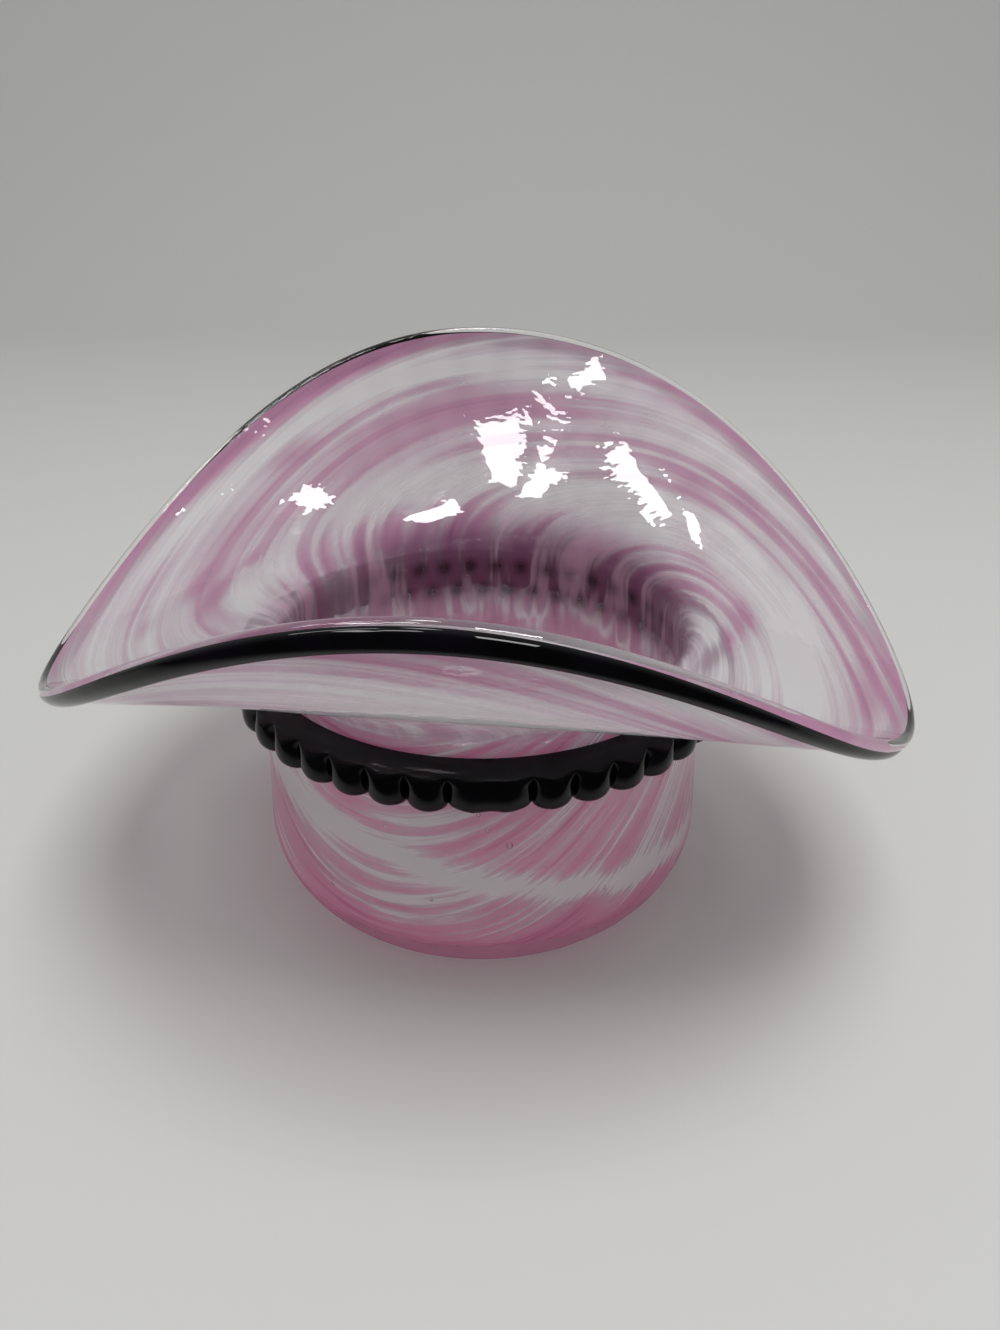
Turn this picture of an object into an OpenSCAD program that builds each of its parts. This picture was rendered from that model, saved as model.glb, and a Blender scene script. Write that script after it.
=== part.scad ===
// Hand-blown glass hat that stands on its crown.
// A clear bubble, a layer of coloured glass and a clear casing make the crown and the saddle-shaped brim.
// A crimped black trail rings the neck and a plain black trail rings the lip.
// Lengths are in millimetres and angles in degrees. The front of the hat faces -Y.

/* [Crown] */
// Outer radius of the crown at its widest
crown_r = 48.5; // [40:0.5:56]
// Radius of the rounded heel between the base and the wall
heel_r = 17; // [12:0.5:22]
// Inward lean of the crown wall from the heel up to the neck
wall_lean = 3; // [0:0.5:5]
// Height of the neck, where the brim starts to flare
neck_height = 57; // [52:0.5:64]

/* [Glass layers] */
// Wall of the clear outer casing
casing_wall = 1.8; // [1.2:0.1:3]
// Thickness of the clear casing under the crown
casing_base = 7.5; // [5:0.25:10]
// Thickness of the coloured layer
colour_wall = 0.6; // [0.4:0.1:1]
// Wall of the clear inner bubble
bubble_wall = 1.4; // [1:0.1:2.5]
// Thickness of the clear inner bubble at the floor
bubble_base = 2.2; // [1.5:0.1:4]
// Full thickness of the glass at the lip
lip_wall = 2.6; // [2:0.1:4]

/* [Brim reach] */
// Reach of the lip from the crown's axis at the front
front_reach = 77.5; // [68:0.5:86]
// Reach of the lip at the back
back_reach = 75; // [66:0.5:86]
// Reach of the lip on the left
left_reach = 91.5; // [80:0.5:100]
// Reach of the lip on the right
right_reach = 87.5; // [80:0.5:100]
// Extra reach on the front right and back left diagonals
reach_twist = 3.2; // [-6:0.1:6]

/* [Brim height] */
// Height of the lip at the front
front_height = 98.7; // [84:0.1:110]
// Height of the lip at the back
back_height = 107; // [90:0.5:118]
// Height of the lip on the left
left_height = 54.5; // [50:0.5:70]
// Height of the lip on the right
right_height = 56.5; // [50:0.5:70]
// Extra height on the back right and front left diagonals
height_twist = 4.8; // [-8:0.1:8]
// Extra height on the two back shoulders, taken from the two front ones
back_lift = 2.9; // [-6:0.1:6]
// Extra height on the two left shoulders, taken from the two right ones
left_lift = 1.1; // [-4:0.1:4]
// Extra height on all four shoulders between the tips and the turned-up sides
shoulder_lift = 1.4; // [-3:0.1:4]
// Lean of the shoulders: those at the front move to the right and those at the back to the left
shoulder_twist = 1.2; // [-3:0.1:3]

/* [Brim curl] */
// Slope of the glass at the front lip
front_slope = 84; // [40:1:88]
// Slope of the glass at the back lip
back_slope = 72; // [40:1:88]
// Slope of the glass at the left tip
left_slope = 8; // [-40:1:20]
// Slope of the glass at the right tip
right_slope = -14; // [-40:1:20]
// Length of the curl at the front lip
front_curl = 26.5; // [16:0.5:32]
// Length of the curl at the back lip
back_curl = 27; // [16:0.5:32]
// Length of the droop at the left tip
left_curl = 19.5; // [12:0.5:28]
// Length of the droop at the right tip
right_curl = 22; // [12:0.5:28]
// Length over which the neck runs on before it flares at the front
front_neck = 16; // [7:0.5:20]
// Length over which the neck runs on at the back
back_neck = 14; // [7:0.5:20]
// Length over which the neck runs on at the left
left_neck = 8.5; // [7:0.5:20]
// Length over which the neck runs on at the right
right_neck = 14; // [7:0.5:20]

/* [Lip trail] */
// Width of the black trail along the glass below the lip
trail_width = 3.3; // [2.4:0.1:5]
// How far the black trail stands off the glass
trail_bulge = 1.5; // [1:0.1:3]
// Width of the clear glass that closes the lip past the coloured layers
lip_close = 0.5; // [0.3:0.1:1.5]
// Angle that the trail climbs up the lip's round edge at the front
front_climb = 32; // [10:1:60]
// Angle that the trail climbs at the back
back_climb = 22; // [10:1:60]
// Angle that the trail climbs on the left
left_climb = 55; // [10:1:60]
// Angle that the trail climbs on the right
right_climb = 6; // [5:1:60]

/* [Neck band] */
// Height of the crimped band
band_height = 7.8; // [6:0.2:11]
// Distance from the band's top up to the flare
band_drop = 0.6; // [0.2:0.2:4]
// How far the band stands off the neck
band_depth = 6.4; // [4:0.2:8]
// Number of crimps round the band
crimp_count = 40; // [24:1:44]
// Depth of the dents between the crimps
crimp_depth = 2.8; // [1:0.1:3.2]
// How far each crimp hangs below the dents
crimp_drop = 1.3; // [0.4:0.1:2.5]
// Angle of the wide pad at the front, where the trail's ends meet
pad_angle = 17; // [8:0.5:20]
// Depth of the hollow in the middle of the pad, as a share of a dent
pad_hollow = 0.3; // [0:0.05:0.6]
// Gap between the band and the glass that it sits on
band_gap = 0.05; // [0.02:0.01:0.2]

/* [Hidden] */
$fn = 144;

// Facets round the brim, and rings from the neck to the lip
brim_steps = 64;
brim_rings = 10;
// Facets over the rounded edge of the lip above the trail, and over the bulge of the lip trail
edge_steps = 4;
bulge_steps = 5;
// Facets over the bulge of the neck band, along one crimp and along the pad
band_steps = 7;
crimp_steps = 8;
pad_steps = 16;
// The brim's root runs this far down inside the crown wall, and is this much slimmer on each face
root_depth = 2;
root_inset = 0.08;
// Fullness of the band's upper and lower half: below 1 is fuller than a round
top_fullness = 0.75;
foot_fullness = 0.45;
// How full the crimps are between the dents: 1 is a plain wave, and less is fuller
crimp_fullness = 0.55;
// Where the middle of the pad is, in degrees to the right of the front
pad_turn = 1.5;
// Angle up the band's section at which the dents run out, and the angle over which they do so
dent_end = 54;
dent_fade = 46;
// Share of the dents that is filled at the band's foot
dent_fill = 0.35;

wall = casing_wall + colour_wall + bubble_wall;
// Depth of each boundary below the outer face of the glass, on the wall and at the floor
wall_depths = [0, casing_wall, casing_wall + colour_wall, wall];
floor_depths = [0, casing_base, casing_base + colour_wall, casing_base + colour_wall + bubble_base];

// Distance of the outer wall from the axis at floor level, square to the leaning wall
wall_line = (crown_r - heel_r) * cos(wall_lean) + heel_r * sin(wall_lean) + heel_r;
// Radius of the straight wall at a height, at a depth below the outer face
function wall_radius(depth, z) = (wall_line - depth - z * sin(wall_lean)) / cos(wall_lean);

// The rounded heel on one boundary: its radius, and its centre beside and above the floor's centre
function heel_radius(i) = heel_r - wall_depths[i];
function heel_rise(i) = floor_depths[i] + heel_radius(i);
function heel_reach(i) = wall_radius(wall_depths[i] + heel_radius(i), heel_rise(i));

// A value that goes smoothly round the hat through its four compass values
function compass(angle, front, back, left, right) =
    (front + back + left + right) / 4
    + (right - left) / 2 * cos(angle)
    + (back - front) / 2 * sin(angle)
    + (right + left - back - front) / 4 * cos(2 * angle);

// The edge of the lip. The added terms are nil at the front, back, left and right.
function lip_reach(angle) =
    compass(angle, front_reach, back_reach, left_reach, right_reach)
    - reach_twist * sin(2 * angle);
function lip_height(angle) =
    compass(angle, front_height, back_height, left_height, right_height)
    + height_twist * sin(2 * angle)
    + back_lift * (sin(3 * angle) + sin(angle))
    + left_lift * (cos(3 * angle) - cos(angle))
    + shoulder_lift * (1 - cos(4 * angle))
    + shoulder_twist * sin(4 * angle);

// The middle of the glass follows one curve from the neck to the lip at each angle
function lip_slope(angle) = compass(angle, front_slope, back_slope, left_slope, right_slope);
function lip_curl(angle) = compass(angle, front_curl, back_curl, left_curl, right_curl);
function neck_run(angle) = compass(angle, front_neck, back_neck, left_neck, right_neck);
function lip_way(angle) = [cos(lip_slope(angle)), sin(lip_slope(angle))];
function lip_point(angle) = [lip_reach(angle), lip_height(angle)] - lip_wall / 2 * lip_way(angle);
neck_way = [-sin(wall_lean), cos(wall_lean)];
neck_point = [wall_radius(wall / 2, neck_height), neck_height];
function brim_curve(angle) = [
    neck_point,
    neck_point + neck_run(angle) * neck_way,
    lip_point(angle) - lip_curl(angle) * lip_way(angle),
    lip_point(angle)
];
function curve_point(c, t) =
    c[0] * pow(1 - t, 3) + 3 * c[1] * t * pow(1 - t, 2) + 3 * c[2] * t * t * (1 - t) + c[3] * pow(t, 3);
function curve_way(c, t) =
    (c[1] - c[0]) * pow(1 - t, 2) + 2 * (c[2] - c[1]) * t * (1 - t) + (c[3] - c[2]) * t * t;
// Unit vector square to the curve, out of the underside of the brim
function curve_side(c, t) =
    let (way = curve_way(c, t))
    [way[1], -way[0]] / norm(way);

// Share of the wall's thickness at the neck that is left along the brim
function thinning(t) = 1 + (lip_wall / wall - 1) * t;
// A point of the brim, and one of its root below the neck. Depth counts from the outer face.
function brim_point(c, t, depth) =
    curve_point(c, t) + (wall / 2 - depth) * thinning(t) * curve_side(c, t);
function root_point(c, rise, depth) =
    c[0] + rise * neck_way + (wall / 2 - depth) * curve_side(c, 0);
// Place along the curve at a small distance below the lip
function below_lip(c, distance) = 1 - distance / (3 * norm(c[3] - c[2]));
// Where the lip trail starts on the outer face, and where the coloured layers stop
function trail_foot(c) = below_lip(c, trail_width);
function layer_end(c) = below_lip(c, lip_close);

// One face of a layer, from its root up to its end
function layer_face(c, depth, inset, end) = concat(
    [for (rise = [-root_depth, root_depth / 2]) root_point(c, rise, depth + inset)],
    [for (i = [1 : brim_rings]) brim_point(c, end * i / brim_rings, depth)]
);
face_size = brim_rings + 2;

// Section of a layer between two boundaries of the glass
function layer_section(c, outer, inner) = concat(
    layer_face(c, wall_depths[outer], root_inset, layer_end(c)),
    flip(layer_face(c, wall_depths[inner], -root_inset, layer_end(c)))
);

// Angle up the lip's round edge at which the trail ends
function trail_climb(angle) = compass(angle, front_climb, back_climb, left_climb, right_climb);
// Section of the casing, which also closes the lip with a round edge
function casing_section(c, climb) = concat(
    layer_face(c, wall_depths[0], root_inset, trail_foot(c)),
    [lip_edge(c, 0)],
    [for (i = [0 : edge_steps]) lip_edge(c, climb + (180 - climb) * i / edge_steps)],
    [brim_point(c, layer_end(c), wall)],
    flip(layer_face(c, wall_depths[1], -root_inset, layer_end(c)))
);
function lip_edge(c, turn) =
    let (
        side = curve_side(c, 1),
        way = [-side[1], side[0]]
    )
    c[3] + lip_wall / 2 * (side * cos(turn) + way * sin(turn));

// Section of the lip trail, which lies on the casing, climbs onto the lip's edge and bulges away from them
function trail_section(c, climb) =
    let (
        foot = brim_point(c, trail_foot(c), 0),
        top = lip_edge(c, climb),
        out = trail_bulge * curve_side(c, 1)
    )
    concat(
        [for (i = [0 : bulge_steps])
            let (turn = 180 * i / bulge_steps)
            (foot + top) / 2 - (top - foot) / 2 * cos(turn) + out * sin(turn)],
        [lip_edge(c, 0)]
    );

// A smooth step from 0 to 1
function soft_step(x) =
    let (s = max(0, min(1, x)))
    s * s * (3 - 2 * s);

// Angles round the band, from the pad's right end on, and how full the crimps are there
crimp_pitch = (360 - pad_angle) / crimp_count;
band_angles = concat(
    [for (i = [0 : crimp_count * crimp_steps - 1]) pad_angle / 2 + crimp_pitch * i / crimp_steps],
    [for (i = [0 : pad_steps - 1]) pad_angle * (i / pad_steps - 1 / 2)]
);
function crimp_share(angle) =
    let (
        on_pad = angle < pad_angle / 2,
        turn = on_pad ? angle / pad_angle + 1 / 2 : (angle - pad_angle / 2) / crimp_pitch,
        full = abs(sin(180 * turn))
    )
    pow(full, crimp_fullness) * (on_pad ? 1 - pad_hollow * pow(full, 8) : 1);

// Section of the neck band: a full round whose lower part is cut back in the dents
band_middle = neck_height - band_drop - band_height / 2;
function band_point(share, turn) =
    let (
        fade = soft_step((dent_end - turn) / dent_fade) * (1 - dent_fill * max(0, -turn / 90)),
        fullness = turn < 0 ? foot_fullness : top_fullness,
        depth = (band_depth - crimp_depth * (1 - share) * fade) * pow(max(0, cos(turn)), fullness),
        z = band_middle + band_height / 2 * sin(turn) - crimp_drop * share * (1 - sin(turn)) / 2
    )
    [wall_radius(-band_gap - depth, z), z];
function band_section(share) = [for (i = [0 : band_steps]) band_point(share, 180 * i / band_steps - 90)];

front_angle = 270;
brim_angles = [for (i = [0 : brim_steps - 1]) 360 * i / brim_steps];
function flip(list) = [for (i = [len(list) - 1 : -1 : 0]) list[i]];
function around(section, angle) = [for (p = section) [p[0] * cos(angle), p[0] * sin(angle), p[1]]];

// Joins closed sections that follow each other round the axis into a ring.
// The facets of the first side_size points slant one way and the rest the other way,
// so that two rings that share a face share its facets.
module ring(sections, side_size) {
    count = len(sections);
    size = len(sections[0]);
    polyhedron(
        points = [for (section = sections) each section],
        faces = [
            for (i = [0 : count - 1], j = [0 : size - 1])
                let (
                    a = i * size + j,
                    b = i * size + (j + 1) % size,
                    c = (i + 1) % count * size + (j + 1) % size,
                    d = (i + 1) % count * size + j
                )
                each j < side_size ? [[a, b, c], [a, c, d]] : [[a, b, d], [b, c, d]]
        ]
    );
}

// Half section of the space inside one boundary of the crown
module crown_half(i) {
    rise = heel_rise(i) + heel_radius(i) * sin(wall_lean);
    translate([heel_reach(i), heel_rise(i)])
        circle(r = heel_radius(i));
    polygon([
        [0, floor_depths[i]],
        [heel_reach(i), floor_depths[i]],
        [wall_radius(wall_depths[i], rise), rise],
        [wall_radius(wall_depths[i], neck_height), neck_height],
        [0, neck_height]
    ]);
}

// The crown of a layer between two boundaries
module crown(outer, inner) {
    rotate_extrude()
        difference() {
            crown_half(outer);
            crown_half(inner);
        }
}

module outer_casing() {
    color("thistle", 0.5) {
        crown(0, 1);
        ring([for (a = brim_angles) around(casing_section(brim_curve(a), trail_climb(a)), a)], face_size + 1);
    }
}

module colour_layer() {
    color("plum") {
        crown(1, 2);
        ring([for (a = brim_angles) around(layer_section(brim_curve(a), 1, 2), a)], face_size);
    }
}

module inner_bubble() {
    color("lavenderblush", 0.5) {
        crown(2, 3);
        ring([for (a = brim_angles) around(layer_section(brim_curve(a), 2, 3), a)], face_size);
    }
}

module neck_band() {
    color("black")
        ring([for (a = band_angles) around(band_section(crimp_share(a)), front_angle + pad_turn + a)], band_steps);
}

module lip_trail() {
    color("black")
        ring([for (a = brim_angles) around(trail_section(brim_curve(a), trail_climb(a)), a)], bulge_steps);
}

outer_casing();
colour_layer();
inner_bubble();
neck_band();
lip_trail();
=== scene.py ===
import math

import bpy
import numpy as np
from mathutils import Matrix, Vector


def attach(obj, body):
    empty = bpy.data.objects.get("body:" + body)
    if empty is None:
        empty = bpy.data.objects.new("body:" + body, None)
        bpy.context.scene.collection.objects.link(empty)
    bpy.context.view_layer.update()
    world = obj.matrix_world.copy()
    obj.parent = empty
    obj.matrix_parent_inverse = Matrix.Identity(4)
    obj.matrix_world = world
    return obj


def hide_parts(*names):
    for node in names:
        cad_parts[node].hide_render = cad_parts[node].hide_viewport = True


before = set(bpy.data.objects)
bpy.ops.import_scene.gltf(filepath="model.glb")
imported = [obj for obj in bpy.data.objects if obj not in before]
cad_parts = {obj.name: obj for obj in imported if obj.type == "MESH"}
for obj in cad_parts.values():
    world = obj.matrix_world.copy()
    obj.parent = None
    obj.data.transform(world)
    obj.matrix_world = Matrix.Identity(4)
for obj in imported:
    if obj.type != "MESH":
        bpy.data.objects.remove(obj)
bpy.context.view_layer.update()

# The hat in millimetres, as its solids have it. The front faces -Y, and angles count from +X towards +Y.
MM = 0.001
CROWN_R = 48.5
HEEL_R = 17
WALL_LEAN = math.radians(3)
NECK_HEIGHT = 57
CASING_WALL = 1.8
CASING_BASE = 7.5
COLOUR_WALL = 0.6
BUBBLE_WALL = 1.4
BUBBLE_BASE = 2.2
LIP_WALL = 2.6
# Values at the front, back, left and right of the brim, and the terms that act between them
REACH = (77.5, 75, 91.5, 87.5)
REACH_TWIST = 3.2
HEIGHT = (98.7, 107, 54.5, 56.5)
HEIGHT_TWIST = 4.8
BACK_LIFT = 2.9
LEFT_LIFT = 1.1
SHOULDER_LIFT = 1.4
SHOULDER_TWIST = 1.2
LIP_SLOPE = (84, 72, 8, -14)
LIP_CURL = (26.5, 27, 19.5, 22)
NECK_RUN = (16, 14, 8.5, 14)
TRAIL_CLIMB = (32, 22, 55, 6)
TRAIL_WIDTH = 3.3
TRAIL_BULGE = 1.5
LIP_CLOSE = 0.2
BAND_HEIGHT = 7.8
BAND_DROP = 0.6
BAND_DEPTH = 6.4
CRIMP_COUNT = 40
CRIMP_DEPTH = 2.8
CRIMP_DROP = 1.3
CRIMP_FULLNESS = 0.55
PAD_ANGLE = 17
PAD_HOLLOW = 0.3
PAD_STEEPNESS = 8
PAD_TURN = 1.5
TOP_FULLNESS = 0.75
FOOT_FULLNESS = 0.45
DENT_END = 54
DENT_FADE = 46
DENT_FILL = 0.35
FRONT_ANGLE = 270

# Rows and columns of the fine meshes
ANGLE_STEPS = 320
FLOOR_ROWS = 14
HEEL_ROWS = 14
WALL_ROWS = 24
BRIM_ROWS = 60
LIP_ROWS = 10
BULGE_ROWS = 16
BAND_ROWS = 26
CRIMP_STEPS = 20
PAD_STEPS = 30
# Edges that bend more than this are drawn sharp
SHARP_ANGLE = math.radians(50)
# Gap between the coloured glass and the faces of the clear glass
LAYER_GAP = 0.03
# How far the black trails sink into the clear glass, and the places of the two rows of the band's seat
TRAIL_SEAT = 0.12
SEAT_SHARES = (0.3, 0.7)

WALL = CASING_WALL + COLOUR_WALL + BUBBLE_WALL
FLOOR = CASING_BASE + COLOUR_WALL + BUBBLE_BASE
WALL_LINE = (CROWN_R - HEEL_R) * math.cos(WALL_LEAN) + HEEL_R * math.sin(WALL_LEAN) + HEEL_R
CRIMP_PITCH = (360 - PAD_ANGLE) / CRIMP_COUNT
ANGLES = np.arange(ANGLE_STEPS) * 2 * math.pi / ANGLE_STEPS


# Form of the glass

def wall_radius(depth, z):
    """Radius of the crown's straight wall at a height, at a depth below its outer face."""
    return (WALL_LINE - depth - z * math.sin(WALL_LEAN)) / math.cos(WALL_LEAN)


def compass(angle, values):
    """A value that goes smoothly round the hat through its front, back, left and right ones."""
    front, back, left, right = values
    return (
        (front + back + left + right) / 4
        + (right - left) / 2 * np.cos(angle)
        + (back - front) / 2 * np.sin(angle)
        + (right + left - back - front) / 4 * np.cos(2 * angle)
    )


def lip_reach(angle):
    return compass(angle, REACH) - REACH_TWIST * np.sin(2 * angle)


def lip_height(angle):
    return (
        compass(angle, HEIGHT)
        + HEIGHT_TWIST * np.sin(2 * angle)
        + BACK_LIFT * (np.sin(3 * angle) + np.sin(angle))
        + LEFT_LIFT * (np.cos(3 * angle) - np.cos(angle))
        + SHOULDER_LIFT * (1 - np.cos(4 * angle))
        + SHOULDER_TWIST * np.sin(4 * angle)
    )


def brim_curve(angle):
    """Control points, as radius and height, of the middle of the glass from the neck to the lip."""
    slope = np.radians(compass(angle, LIP_SLOPE))
    way = np.stack([np.cos(slope), np.sin(slope)], -1)
    lip = np.stack([lip_reach(angle), lip_height(angle)], -1) - LIP_WALL / 2 * way
    neck = np.broadcast_to([wall_radius(WALL / 2, NECK_HEIGHT), NECK_HEIGHT], lip.shape)
    neck_way = np.array([-math.sin(WALL_LEAN), math.cos(WALL_LEAN)])
    flare = neck + compass(angle, NECK_RUN)[:, None] * neck_way
    return np.stack([neck, flare, lip - compass(angle, LIP_CURL)[:, None] * way, lip])


CURVE = brim_curve(ANGLES)
# Shares of the brim's curve at which the lip trail starts and the coloured layers stop
CURL = 3 * np.linalg.norm(CURVE[3] - CURVE[2], axis=-1)
TRAIL_FOOT = 1 - TRAIL_WIDTH / CURL
LAYER_END = 1 - LIP_CLOSE / CURL
# The trail runs low and slim where it passes behind the lip: middle and half width of each stretch
LOW_STRETCHES = ((160, 26), (84, 18))
LOW_STEEPNESS = 4
LOWNESS = sum(
    np.exp(-((np.degrees(ANGLES) - middle) / half) ** LOW_STEEPNESS)
    for middle, half in LOW_STRETCHES
)
LOW_CLIMB = 4
LOW_BULGE_LOSS = 0.5
CLIMB = LOW_CLIMB + (compass(ANGLES, TRAIL_CLIMB) - LOW_CLIMB) * (1 - LOWNESS)
BULGE = TRAIL_BULGE * (1 - LOW_BULGE_LOSS * LOWNESS)


def curve_point(t):
    t = t[..., None]
    a, b, c, d = CURVE
    return a * (1 - t) ** 3 + 3 * b * t * (1 - t) ** 2 + 3 * c * t * t * (1 - t) + d * t ** 3


def curve_side(t):
    """Unit vector out of the underside of the brim."""
    t = t[..., None]
    a, b, c, d = CURVE
    way = (b - a) * (1 - t) ** 2 + 2 * (c - b) * t * (1 - t) + (d - c) * t * t
    side = np.stack([way[..., 1], -way[..., 0]], -1)
    return side / np.linalg.norm(side, axis=-1, keepdims=True)


def brim_rows(shares, depth, end=LAYER_END):
    """Rows of the brim at shares of the way to an end, at a depth below the outer face."""
    t = np.asarray(shares)[:, None] * end
    thinning = 1 + (LIP_WALL / WALL - 1) * t[..., None]
    return curve_point(t) + (WALL / 2 - depth) * thinning * curve_side(t)


def lip_rows(turns):
    """Rows over the round edge of the lip, from its outer face at 0 degrees to its inner face at 180."""
    end = np.ones(ANGLE_STEPS)
    side = curve_side(end)
    way = np.stack([-side[..., 1], side[..., 0]], -1)
    turns = np.radians(np.broadcast_to(turns, (len(turns), ANGLE_STEPS)))[..., None]
    return CURVE[3] + LIP_WALL / 2 * (side * np.cos(turns) + way * np.sin(turns))


def crown_rows(depth, floor):
    """Rows of the crown's floor, heel and wall, from beside the axis up to just below the neck."""
    heel_radius = HEEL_R - depth
    rise = floor + heel_radius
    reach = wall_radius(depth + heel_radius, rise)
    radii = reach * np.arange(1, FLOOR_ROWS + 1) / FLOOR_ROWS
    flat = np.stack([radii, np.full(FLOOR_ROWS, floor)], -1)
    turns = -math.pi / 2 + (math.pi / 2 + WALL_LEAN) * np.arange(1, HEEL_ROWS + 1) / HEEL_ROWS
    heel = np.stack([reach + heel_radius * np.cos(turns), rise + heel_radius * np.sin(turns)], -1)
    neck = CURVE[0][0] + (WALL / 2 - depth) * np.array([math.cos(WALL_LEAN), math.sin(WALL_LEAN)])
    steps = np.arange(1, WALL_ROWS)[:, None] / WALL_ROWS
    wall = heel[-1] + (neck - heel[-1]) * steps
    profile = np.concatenate([flat, heel, wall])
    return np.broadcast_to(profile[:, None], (len(profile), ANGLE_STEPS, 2))


BRIM_SHARES = np.arange(BRIM_ROWS + 1) / BRIM_ROWS


def face_rows(depth, floor):
    """Rows of one whole face of a layer, from beside the axis out to the layers' end."""
    return np.concatenate([crown_rows(depth, floor), brim_rows(BRIM_SHARES, depth)])


# Meshes

def around(rows, angles):
    """Points in metres of rows of radius and height at these angles."""
    radius, height = rows[..., 0], rows[..., 1]
    points = np.stack([radius * np.cos(angles), radius * np.sin(angles), height], -1)
    return points * MM


def strip_faces(row_count, column_count, wraps):
    """Quads between rows of points. With wraps, the last row joins the first."""
    row = np.arange(row_count if wraps else row_count - 1)[:, None]
    column = np.arange(column_count)[None]
    after = (column + 1) % column_count
    above = (row + 1) % row_count
    corners = [row * column_count + column, row * column_count + after,
               above * column_count + after, above * column_count + column]
    return np.stack(np.broadcast_arrays(*corners), -1).reshape(-1, 4)


def make_piece(name, points, faces, materials, material_index=0):
    """A smooth mesh piece with its materials, sharp where it bends most; settle puts it on the hat's one
    body.
    """
    mesh = bpy.data.meshes.new(name)
    mesh.from_pydata(points.reshape(-1, 3).tolist(), [], faces)
    for material in materials:
        mesh.materials.append(material)
    indices = np.broadcast_to(material_index, len(faces)).astype(np.int32)
    mesh.polygons.foreach_set("material_index", indices)
    mesh.polygons.foreach_set("use_smooth", np.ones(len(faces), bool))
    mesh.set_sharp_from_angle(angle=SHARP_ANGLE)
    mesh.update()
    piece = bpy.data.objects.new(name, mesh)
    bpy.context.scene.collection.objects.link(piece)
    return piece


def shell_points_and_faces(rows, start_height, end_height):
    """A closed shell: rows of points with a pole on the axis at each end."""
    points = around(rows, ANGLES).reshape(-1, 3)
    quads = strip_faces(len(rows), ANGLE_STEPS, False)
    first = len(points)
    last = first + 1
    poles = np.array([[0, 0, start_height], [0, 0, end_height]]) * MM
    column = np.arange(ANGLE_STEPS)
    after = (column + 1) % ANGLE_STEPS
    top = (len(rows) - 1) * ANGLE_STEPS
    faces = quads.tolist()
    faces += [(first, int(b), int(a)) for a, b in zip(column, after)]
    faces += [(last, int(top + a), int(top + b)) for a, b in zip(column, after)]
    return np.concatenate([points, poles]), faces


# Course of the streaks. Run is the length from the middle of the floor to the lip, along the coloured glass.

BRIM_RUN = 52
# Turn of the brim's streaks from the neck, which they leave upright, to the lip, which they nearly follow
BRIM_TWIST = 2.6
# How late on the way that turn comes, and how much sooner at the right
TWIST_POWER = 2.4
TWIST_SOONER = 0.8
# The streaks on the crown hang in a curve that is lowest left of the front
DRAPE_RISE = 60
DRAPE_LOW = math.radians(FRONT_ANGLE - 25)
# The broad white ribbon on the crown: height at the front, fall to the right and to the back, half width
RIBBON_HEIGHT = 28
RIBBON_FALL = 10.5
RIBBON_BACK_FALL = 5
RIBBON_WIDTH = 3.0
RIBBON_WHITE = 2.3
# The back half is drawn as its inside shows it, and the change at the sides is this wide, as a sine
INSIDE_EDGE = 0.3
# Heights, and the share of the brim, over which hanging streaks give way to those that run up and out
FLARE_HEIGHTS = (NECK_HEIGHT - 26, NECK_HEIGHT - 14)
FLARE_SHARES = (0, 0.15)
# Shares of the brim over which the throat's strong streaks fade
THROAT_SHARES = (0.15, 0.45)
# Shares over which weaker ones start on the underside, and their strength
UNDERSIDE_SHARES = (0.05, 0.2)
UNDERSIDE_STRENGTH = 0.3
# Pink zones: a ring inside the crown, the heel by height and run, and the lip by share
HOLLOW_HEIGHT = 37
HOLLOW_SPREAD = 5
HEEL_HEIGHTS = (10, 20)
HEEL_RUNS = (22, 32)
ZONE_PINK = 0.9
LIP_SHARES = (0.93, 1)
LIP_PINK = 0.7
# Lean to white, or to pink where negative, on the crown and in the throat
CROWN_LEAN = -0.45
THROAT_LEAN = 0.25
# Shares over which the clouds of the brim take over, and their strength
FACE_SHARES = (0, 0.14)
CLOUD_STRENGTH = 0.32
# Darkest glass in the throat, partly its own colour and partly painted shade where the black band behind it
# blocks the light: angle of its middle, edge as a cosine, heights and shares
DEEP_SHADE_ANGLE = 68
DEEP_SHADE_EDGE = (0.1, 0.9)
DEEP_SHADE_HEIGHTS = (38, 50)
DEEP_SHADE_SHARES = (0.05, 0.34)
# Part of it that is left at the sides
DEEP_SHADE_LEAST = 0.25
# Shares over which the mauve of the throat fades
MAUVE_SHARES = (0.1, 0.35)
# A clearer ring at the back of the brim: share, depth, edge as a sine, and how much cover it loses
RING_SHARE = 0.42
RING_DEPTH = 0.13
RING_EDGE = (0.1, 0.9)
RING_CLEAR = 0.6
# Shares over which the colour gets fuller towards the lip
COVER_SHARES = (0.88, 0.97)
# Painted shade of the band's crimps, seen through the throat as dark marks: heights of the two rows, and
# spread round and up
SPOT_HEIGHTS = (47.5, 54)
SPOT_SPREAD = 2.5
SPOT_DEPTH = 1.9
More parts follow.
